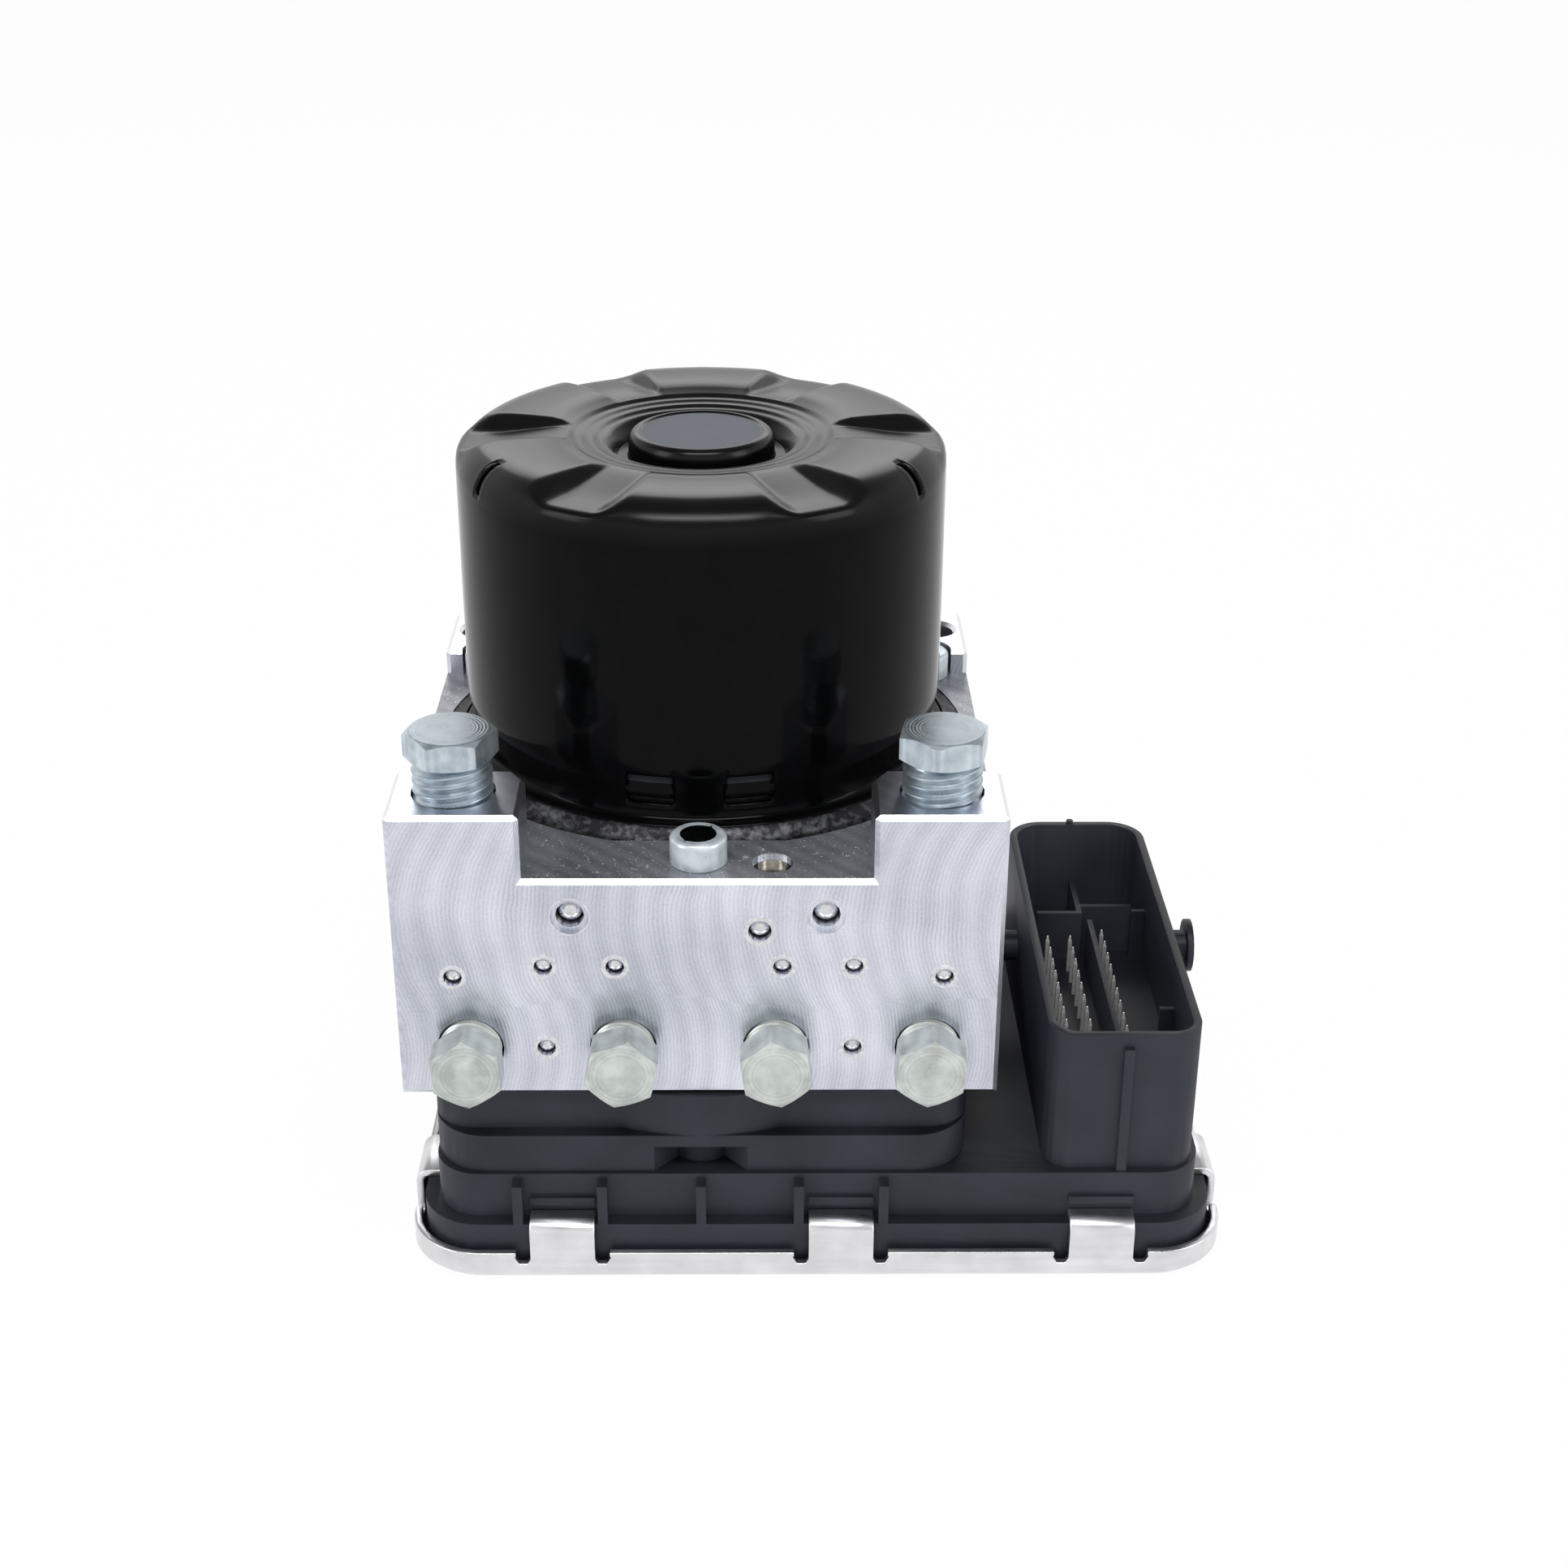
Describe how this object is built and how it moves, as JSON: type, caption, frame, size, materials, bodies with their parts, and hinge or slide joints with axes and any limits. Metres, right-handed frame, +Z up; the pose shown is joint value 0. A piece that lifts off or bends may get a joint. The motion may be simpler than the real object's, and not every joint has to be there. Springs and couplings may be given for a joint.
{
  "type": "abs brake module",
  "caption": "Anti-lock brake module: milled aluminium valve block with plugged ports, black pump motor on top and a control unit with wiring connector below.",
  "frame": {"origin": "On the underside of the aluminium base cover, below the axis of the pump motor.", "axes": "+Z is up along the motor axis, -Y is the face with the outlet ports, +X is the side with the wiring connector."},
  "size_m": [0.1276, 0.1013, 0.1183],
  "materials": {
    "block_aluminium": "milled, fine swirl marks, bright chamfers",
    "yellow_zinc": "turned and zinc plated, pale yellow-green tint",
    "blue_zinc": "zinc plated, pale blue tint",
    "ball_steel": "polished steel",
    "nickel": "dull nickel",
    "spring_steel": "drawn steel",
    "bare_steel": "ground steel",
    "bare_aluminium": "rolled sheet or turned, bright",
    "black_enamel": "glossy black enamel on deep-drawn steel",
    "rubber": "matt",
    "ferrite": "dull ceramic magnet",
    "brush_plastic": "glass-filled plastic, dark",
    "carbon": "copper-bearing carbon",
    "copper": "copper",
    "tinned": "tin plated",
    "housing_plastic": "glass-filled black plastic, satin",
    "board": "green solder mask",
    "chip_plastic": "moulded package",
    "brass": "turned brass",
    "core_steel": "stacked laminations"
  },
  "bodies": {
    "module": {"hydraulic_block": "block_aluminium", "outlet_plugs": "yellow_zinc", "inlet_plugs": "blue_zinc", "sealing_balls_large": "ball_steel", "sealing_ball_medium": "ball_steel", "sealing_balls_small": "ball_steel", "vent_cap": "nickel", "vent_snap_ring": "spring_steel", "housing_screws": "blue_zinc", "threaded_inserts": "brass", "pump_springs": "spring_steel", "pump_caps": "spring_steel", "accumulator_springs": "spring_steel", "accumulator_caps": "bare_steel", "motor_can": "black_enamel", "motor_seal": "rubber", "motor_magnets": "ferrite", "brush_plate": "brush_plastic", "carbon_brushes": "carbon", "brush_springs": "spring_steel", "upper_bearing": "bare_steel", "lower_bearing": "bare_steel", "motor_lead": "brush_plastic", "lead_blades": "copper", "inlet_valves": "bare_steel", "outlet_valves": "bare_steel", "coil_yokes": "bare_steel", "coil_windings": "copper", "coil_pins": "tinned", "ecu_housing": "housing_plastic", "housing_gasket": "rubber", "connector_pins": "tinned", "circuit_board": "board", "board_chips": "chip_plastic", "board_capacitors": "bare_aluminium", "cover_seal": "rubber", "base_cover": "bare_aluminium"},
    "rotor": {"motor_shaft": "bare_steel", "armature_core": "core_steel", "armature_windings": "copper", "commutator": "copper", "eccentric_bush": "bare_steel", "eccentric_bearing": "bare_steel"},
    "left_pump": {"pump_piston_left": "bare_steel"},
    "right_pump": {"pump_piston_right": "bare_steel"},
    "left_accumulator": {"accumulator_piston_left": "bare_aluminium"},
    "right_accumulator": {"accumulator_piston_right": "bare_aluminium"}
  },
  "joints": [
    {"name": "rotor_spin", "type": "hinge", "parent": "module", "child": "rotor", "pos_m": [0, 0, 0.08], "axis": [0, 0, 1], "continuous": true},
    {"name": "left_pump_stroke", "type": "slide", "parent": "module", "child": "left_pump", "axis": [-1, 0, 0], "range_m": [0, 0.002], "stiffness_N_per_m": 800, "springref_m": -0.003},
    {"name": "right_pump_stroke", "type": "slide", "parent": "module", "child": "right_pump", "axis": [1, 0, 0], "range_m": [0, 0.002], "stiffness_N_per_m": 800, "springref_m": -0.003},
    {"name": "left_accumulator_stroke", "type": "slide", "parent": "module", "child": "left_accumulator", "axis": [0, 1, 0], "range_m": [0, 0.006], "stiffness_N_per_m": 1200, "springref_m": -0.004},
    {"name": "right_accumulator_stroke", "type": "slide", "parent": "module", "child": "right_accumulator", "axis": [0, 1, 0], "range_m": [0, 0.006], "stiffness_N_per_m": 1200, "springref_m": -0.004}
  ]
}
